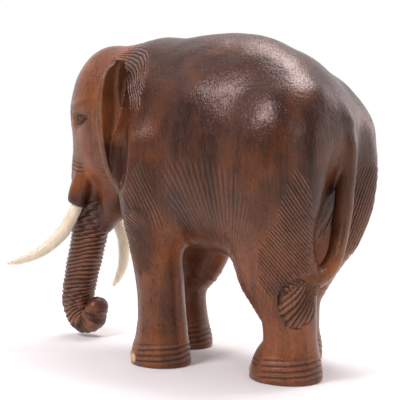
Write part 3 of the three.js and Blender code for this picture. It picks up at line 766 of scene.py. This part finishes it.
FEET = {"left_fore": (LEG_LF, (-33, -71, -109, -147)), "right_fore": (LEG_RF, (-33, -71, -109, -147)),
        "left_hind": (LEG_LH, (-68, -94, -120)), "right_hind": (LEG_RH, (-61, -90, -119))}
nails = []
for foot, (leg, angles) in FEET.items():
    cx, cy, _, ra, rb = leg[-2]
    for k, deg in enumerate(angles):
        t = math.radians(deg)
        q = np.array([cx + ra * math.cos(t), cy + rb * math.sin(t), 4.3])
        nn = unit((math.cos(t) / ra, math.sin(t) / rb, 0))
        tt = np.array([-nn[1], nn[0], 0])
        c = q - nn * 0.9
        A, B = 24, 14
        P = [c + np.array([0, 0, -3.4])]
        for b in range(1, B):
            f = math.pi * b / B
            for aa in range(A):
                g = 2 * math.pi * aa / A
                ct, st = math.cos(g), math.sin(g)
                cu = math.copysign(abs(ct) ** 0.85, ct) * math.sin(f) ** 0.85
                P.append(c + tt * 3.7 * cu + nn * 2.2 * st * math.sin(f) + np.array([0, 0, -3.4 * math.cos(f)]))
        P.append(c + np.array([0, 0, 3.4]))
        P = np.array(P)
        fs, tri = [], []
        for aa in range(A):
            a2 = (aa + 1) % A
            tri.append((0, 1 + a2, 1 + aa))
            tri.append((len(P) - 1, 1 + (B - 2) * A + aa, 1 + (B - 2) * A + a2))
            for b in range(B - 2):
                fs.append((1 + b * A + aa, 1 + b * A + a2, 1 + (b + 1) * A + a2, 1 + (b + 1) * A + aa))
        nails.append((foot, k + 1, P, np.array(fs), np.array(tri)))
for foot, k, P, fs, tri in nails:
    o = mesh_of("toenail_%s_%d" % (foot, k), P, [fs, tri])
    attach(o, "carving")
    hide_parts("nail_%s_%d" % (foot, k))

# ---------------------------------------------------------------------------------------------
# Materials
# ---------------------------------------------------------------------------------------------
def nodes_of(name):
    m = bpy.data.materials.new(name)
    m.use_nodes = True
    t = m.node_tree
    return m, t, t.nodes["Principled BSDF"]

def add(t, kind, **kw):
    n = t.nodes.new(kind)
    for k, val in kw.items():
        if k in n.bl_rna.properties:
            setattr(n, k, val)
        else:
            n.inputs[k.replace("_", " ")].default_value = val
    return n

def mixc(t, fac, a, b, mode="MIX"):
    n = t.nodes.new("ShaderNodeMix")
    n.data_type = "RGBA"
    n.blend_type = mode
    n.clamp_factor = True
    for s, val in ((n.inputs[0], fac), (n.inputs[6], a), (n.inputs[7], b)):
        if isinstance(val, (int, float)):
            s.default_value = val
        elif isinstance(val, tuple):
            s.default_value = val + (1,) if len(val) == 3 else val
        else:
            t.links.new(val, s)
    return n.outputs[2]

def math_(t, op, a, b=0.0, clamp=False):
    n = t.nodes.new("ShaderNodeMath")
    n.operation = op
    n.use_clamp = clamp
    for s, val in ((n.inputs[0], a), (n.inputs[1], b)):
        if isinstance(val, (int, float)):
            s.default_value = val
        else:
            t.links.new(val, s)
    return n.outputs[0]

def ramp(t, val, lo, hi):
    n = t.nodes.new("ShaderNodeMapRange")
    n.clamp = True
    n.inputs["From Min"].default_value = lo
    n.inputs["From Max"].default_value = hi
    t.links.new(val, n.inputs["Value"])
    return n.outputs["Result"]

def noise_tex(t, vec, scale, detail=3.0, rough=0.55, dist=0.0):
    n = t.nodes.new("ShaderNodeTexNoise")
    n.inputs["Scale"].default_value = scale
    n.inputs["Detail"].default_value = detail
    n.inputs["Roughness"].default_value = rough
    n.inputs["Distortion"].default_value = dist
    t.links.new(vec, n.inputs["Vector"])
    return n.outputs["Fac"]

def stretched(t, vec, s, rot=(0, 0, 0)):
    n = t.nodes.new("ShaderNodeMapping")
    n.inputs["Scale"].default_value = s
    n.inputs["Rotation"].default_value = rot
    t.links.new(vec, n.inputs["Vector"])
    return n.outputs["Vector"]

wood, t, sh = nodes_of("polished_hardwood")
co = t.nodes.new("ShaderNodeTexCoord").outputs["Object"]
a_hollow_shade_and_knot = t.nodes.new("ShaderNodeAttribute")
a_hollow_shade_and_knot.attribute_name = "hollow_shade_and_knot"
a_tone_and_light = t.nodes.new("ShaderNodeAttribute")
a_tone_and_light.attribute_name = "tone_and_light"
tilt = (math.radians(7), math.radians(-5), 0)
band = noise_tex(t, stretched(t, co, (95, 70, 7), tilt), 1.0, 3.0, 0.5, 0.4)
fibre = noise_tex(t, stretched(t, co, (900, 700, 38), tilt), 1.0, 3.0, 0.6)
cloud = noise_tex(t, co, 26.0, 3.0, 0.5)
pores = noise_tex(t, stretched(t, co, (1500, 1300, 170), tilt), 1.0, 1.0, 0.4)
pore = ramp(t, pores, 0.66, 0.74)
base = mixc(t, ramp(t, band, 0.34, 0.66), (0.019, 0.0055, 0.0034), (0.050, 0.0140, 0.0062))
# redder, paler wood from the per-point tone, which also carries painted light and shade
tone_and_light_mix = math_(t, "MULTIPLY", a_tone_and_light.outputs["Fac"], math_(t, "ADD", 0.22, math_(t, "MULTIPLY", math_(t, "ADD", ramp(t, cloud, 0.34, 0.66), ramp(t, band, 0.36, 0.64)), 0.56)))
base = mixc(t, tone_and_light_mix, base, (0.34, 0.104, 0.028))
base = mixc(t, math_(t, "MULTIPLY", ramp(t, fibre, 0.45, 0.65), 0.28), base, (0.15, 0.052, 0.024))
base = mixc(t, math_(t, "MULTIPLY", pore, 0.62), base, (0.014, 0.006, 0.0045))
# painted shade: near-black brown in the cuts, pits and hollows (the knot's darkening is its own wood)
base = mixc(t, math_(t, "MULTIPLY", a_hollow_shade_and_knot.outputs["Fac"], 0.93), base, (0.010, 0.0036, 0.0024))
a_worn = t.nodes.new("ShaderNodeAttribute")
a_worn.attribute_name = "worn"
# lighter ridges, ear rim and tuft strands: wear and painted highlight
base = mixc(t, math_(t, "MULTIPLY", math_(t, "MULTIPLY", a_worn.outputs["Fac"], ramp(t, cloud, 0.25, 0.6)), 0.50), base, (0.36, 0.175, 0.105))
rough = ramp(t, cloud, 0.2, 0.8)
r1 = math_(t, "ADD", math_(t, "MULTIPLY", rough, 0.12), 0.24)
r2 = math_(t, "ADD", r1, math_(t, "MULTIPLY", a_hollow_shade_and_knot.outputs["Fac"], 0.30))
r3 = math_(t, "ADD", r2, math_(t, "MULTIPLY", pore, 0.15))
t.links.new(r3, sh.inputs["Roughness"])
sh.inputs["Specular Tint"].default_value = (1.0, 0.76, 0.70, 1)
sh.inputs["Coat Weight"].default_value = 0.06
sh.inputs["Coat Roughness"].default_value = 0.22
sh.inputs["Specular IOR Level"].default_value = 0.50
hide = noise_tex(t, co, 520.0, 4.0, 0.6)
base2 = mixc(t, math_(t, "MULTIPLY", ramp(t, hide, 0.50, 0.68), 0.42), base, (0.012, 0.005, 0.0035))
t.links.new(base2, sh.inputs["Base Color"])
h = math_(t, "SUBTRACT", math_(t, "ADD", math_(t, "MULTIPLY", fibre, 0.45), math_(t, "MULTIPLY", hide, 0.75)), math_(t, "MULTIPLY", pore, 0.8))
bmp = t.nodes.new("ShaderNodeBump")
bmp.inputs["Strength"].default_value = 0.55
bmp.inputs["Distance"].default_value = 0.0007
t.links.new(h, bmp.inputs["Height"])
t.links.new(bmp.outputs["Normal"], sh.inputs["Normal"])

def pale(name, light, dark, rough, grain):
    m, t, sh = nodes_of(name)
    co = t.nodes.new("ShaderNodeTexCoord").outputs["Object"]
    g = noise_tex(t, stretched(t, co, (grain, grain * 0.7, grain * 0.22), (math.radians(25), math.radians(30), 0)), 1.0, 3.0, 0.55)
    c = mixc(t, ramp(t, g, 0.35, 0.72), light, dark)
    c = mixc(t, math_(t, "MULTIPLY", ramp(t, noise_tex(t, co, 90.0, 2.0), 0.45, 0.75), 0.35), c, dark)
    t.links.new(c, sh.inputs["Base Color"])
    t.links.new(math_(t, "ADD", math_(t, "MULTIPLY", g, 0.12), rough), sh.inputs["Roughness"])
    b = t.nodes.new("ShaderNodeBump")
    b.inputs["Strength"].default_value = 0.12
    b.inputs["Distance"].default_value = 0.0002
    t.links.new(g, b.inputs["Height"])
    t.links.new(b.outputs["Normal"], sh.inputs["Normal"])
    sh.inputs["Subsurface Weight"].default_value = 0.08
    sh.inputs["Subsurface Scale"].default_value = 0.003
    sh.inputs["Coat Weight"].default_value = 0.15
    return m

tusk_mat = pale("pale_wood_tusk", (0.90, 0.82, 0.66), (0.78, 0.65, 0.45), 0.30, 420)
nail_mat = pale("pale_wood_nail", (0.70, 0.52, 0.30), (0.50, 0.33, 0.16), 0.34, 700)

for o in bpy.data.objects:
    if o.type != "MESH":
        continue
    if "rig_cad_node" in o:
        o.data.materials.clear()
        o.data.materials.append(tusk_mat if "tusk" in o.name else nail_mat if "nail" in o.name else wood)
    elif o.name.startswith("tusk_"):
        o.data.materials.append(tusk_mat)
    elif o.name.startswith("toenail_"):
        o.data.materials.append(nail_mat)
    elif o.name == "carved_elephant":
        o.data.materials.append(wood)

# ---------------------------------------------------------------------------------------------
# Floor, light and camera
# ---------------------------------------------------------------------------------------------
me = bpy.data.meshes.new("floor")
me.from_pydata([(-6, -6, 0), (6, -6, 0), (6, 6, 0), (-6, 6, 0)], [], [(0, 1, 2, 3)])
floor = bpy.data.objects.new("floor", me)
bpy.context.scene.collection.objects.link(floor)
floor.location.z = -0.0002
fm, ft, fs_ = nodes_of("pale_floor")
fs_.inputs["Base Color"].default_value = (0.93, 0.93, 0.93, 1)
fs_.inputs["Roughness"].default_value = 0.75
fs_.inputs["Specular IOR Level"].default_value = 0.2
glow = ft.nodes.new("ShaderNodeEmission")
glow.inputs["Color"].default_value = (1, 1, 1, 1)
blendn = ft.nodes.new("ShaderNodeMixShader")
fco = ft.nodes.new("ShaderNodeTexCoord").outputs["Object"]
ln = ft.nodes.new("ShaderNodeVectorMath")
ln.operation = "LENGTH"
ft.links.new(fco, ln.inputs[0])
ft.links.new(ramp(ft, ln.outputs["Value"], 0.12, 0.42), blendn.inputs[0])
ft.links.new(fs_.outputs[0], blendn.inputs[1])
ft.links.new(glow.outputs[0], blendn.inputs[2])
ft.links.new(blendn.outputs[0], ft.nodes["Material Output"].inputs["Surface"])
me.materials.append(fm)

world = bpy.data.worlds.new("studio")
bpy.context.scene.world = world
world.use_nodes = True
wt = world.node_tree
bg = wt.nodes["Background"]
bg.inputs[1].default_value = 1.0
geo = wt.nodes.new("ShaderNodeTexCoord")
toward = wt.nodes.new("ShaderNodeVectorMath")
toward.operation = "DOT_PRODUCT"
toward.inputs[1].default_value = (math.cos(math.radians(35)), math.sin(math.radians(35)), -0.25)
wt.links.new(geo.outputs["Generated"], toward.inputs[0])
room = wt.nodes.new("ShaderNodeMapRange")
room.inputs["From Min"].default_value = -0.75
room.inputs["From Max"].default_value = 0.55
room.inputs["To Min"].default_value = 0.95
room.inputs["To Max"].default_value = 0.11
wt.links.new(toward.outputs["Value"], room.inputs["Value"])
tint = wt.nodes.new("ShaderNodeMix")
tint.data_type = "RGBA"
tint.inputs[0].default_value = 1.0
tint.blend_type = "MULTIPLY"
tint.inputs[6].default_value = (1.0, 0.965, 0.97, 1)
wt.links.new(room.outputs["Result"], tint.inputs[7])
ray = wt.nodes.new("ShaderNodeLightPath")
pick = wt.nodes.new("ShaderNodeMix")
pick.data_type = "RGBA"
wt.links.new(ray.outputs["Is Camera Ray"], pick.inputs[0])
wt.links.new(tint.outputs[2], pick.inputs[6])
pick.inputs[7].default_value = (1, 1, 1, 1)
wt.links.new(pick.outputs[2], bg.inputs[0])

CENTRE = Vector(to_row((0, -20, 105)))
def softbox(name, loc, size, power, colour=(1, 1, 1)):
    l = bpy.data.lights.new(name, "AREA")
    l.shape = "RECTANGLE"
    l.size, l.size_y = size
    l.energy = power
    l.color = colour
    o = bpy.data.objects.new(name, l)
    bpy.context.scene.collection.objects.link(o)
    o.location = loc
    o.rotation_euler = (CENTRE - Vector(loc)).to_track_quat("-Z", "Y").to_euler()
    return o

TH, EL, DIST, FPX = math.radians(35), math.radians(5), 0.750, 1110.0
back = Vector((math.cos(TH) * math.cos(EL), math.sin(TH) * math.cos(EL), math.sin(EL)))
target = Vector(to_row((1.0, -20.0, 105.5)))
eye = target + back * DIST
right = (-back).cross(Vector((0, 0, 1))).normalized()
up = right.cross(-back)
cam_data = bpy.data.cameras.new("camera")
cam_data.sensor_width = 36
cam_data.lens = FPX * 36 / 400
cam_data.clip_start = 0.01
cam = bpy.data.objects.new("camera", cam_data)
bpy.context.scene.collection.objects.link(cam)
cam.matrix_world = Matrix(((right.x, up.x, back.x, eye.x), (right.y, up.y, back.y, eye.y), (right.z, up.z, back.z, eye.z), (0, 0, 0, 1)))
bpy.context.scene.camera = cam
bpy.context.scene.view_settings.view_transform = "Standard"

def at(r, u, b):
    """A place by its distance right, up and towards the camera from the middle of the object."""
    return CENTRE + right * r + Vector((0, 0, 1)) * u + Vector((back.x, back.y, 0)).normalized() * b
softbox("key", at(-0.60, 0.74, 0.50), (0.34, 0.24), 7.5, (1.0, 0.90, 0.95))
softbox("rim", at(0.90, 0.32, -0.60), (0.40, 0.60), 1.7, (1.0, 0.90, 0.93))
softbox("fill", at(1.20, 0.15, 0.20), (0.40, 0.50), 0.9, (1.0, 0.95, 0.94))
softbox("crest", at(0.02, 1.00, -0.40), (0.50, 0.30), 3.0, (1.0, 0.92, 0.93))
softbox("front", at(0.45, 0.45, 1.00), (0.40, 0.40), 2.0, (1.0, 0.96, 0.95))
softbox("top", at(0.34, 0.92, -0.19), (0.45, 0.30), 5.5, (1.0, 0.93, 0.94))
